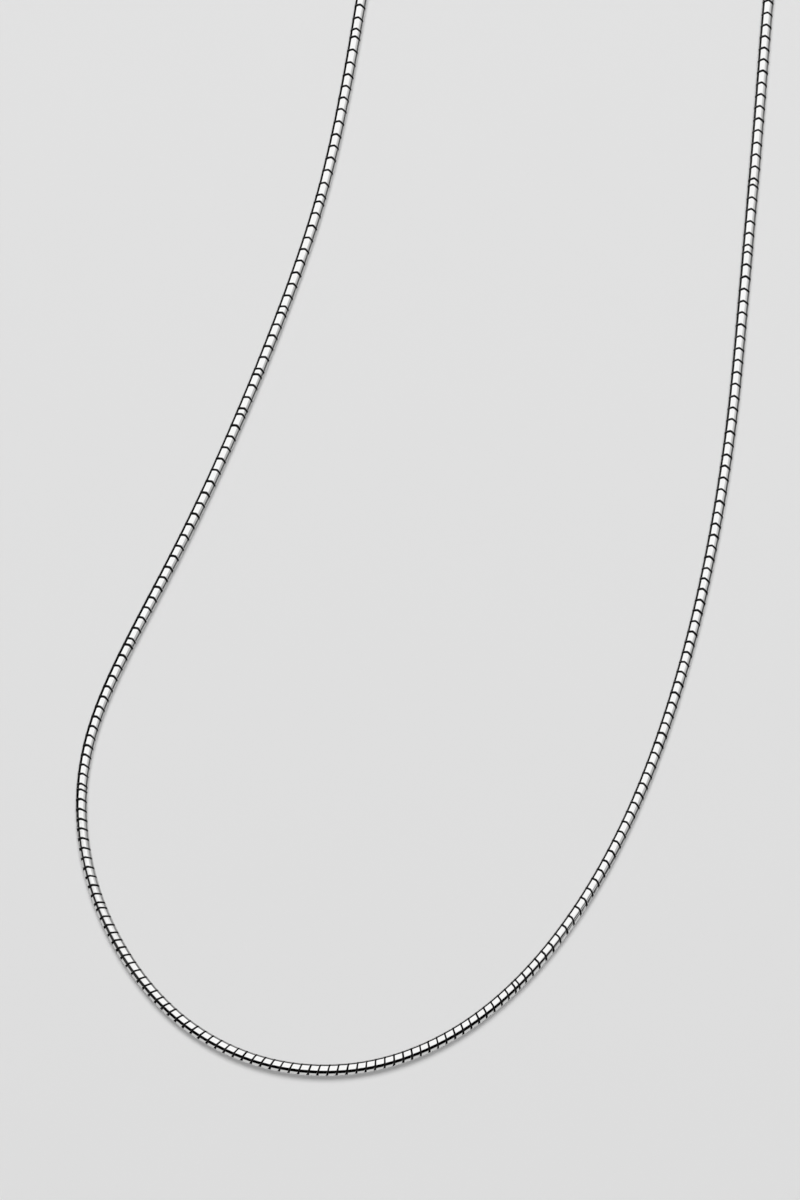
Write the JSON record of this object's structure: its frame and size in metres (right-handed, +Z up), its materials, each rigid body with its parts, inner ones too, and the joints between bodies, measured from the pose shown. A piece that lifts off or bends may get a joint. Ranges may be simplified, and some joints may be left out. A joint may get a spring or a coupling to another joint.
{
  "type": "snake chain",
  "caption": "Round, mirror-polished snake chain for the neck, lying flat in one long leaning loop and closed at the back by a plain barrel clasp.",
  "frame": {"origin": "middle of the loop's box, on the surface that the chain lies on", "axes": "+Z up from the surface, +Y from the bottom of the loop to the clasp at the back of the neck, +X across the loop to the right-hand strand seen from above"},
  "size_m": [0.0911, 0.1918, 0.003],
  "materials": {
    "polished_silver": "mirror-polished silver-coloured metal, darker in the seams between the links",
    "clasp_silver": "mirror-polished silver-coloured metal with fine wear"
  },
  "bodies": {
    "root": {"snake_chain": "polished_silver", "clasp": "clasp_silver"}
  },
  "joints": []
}
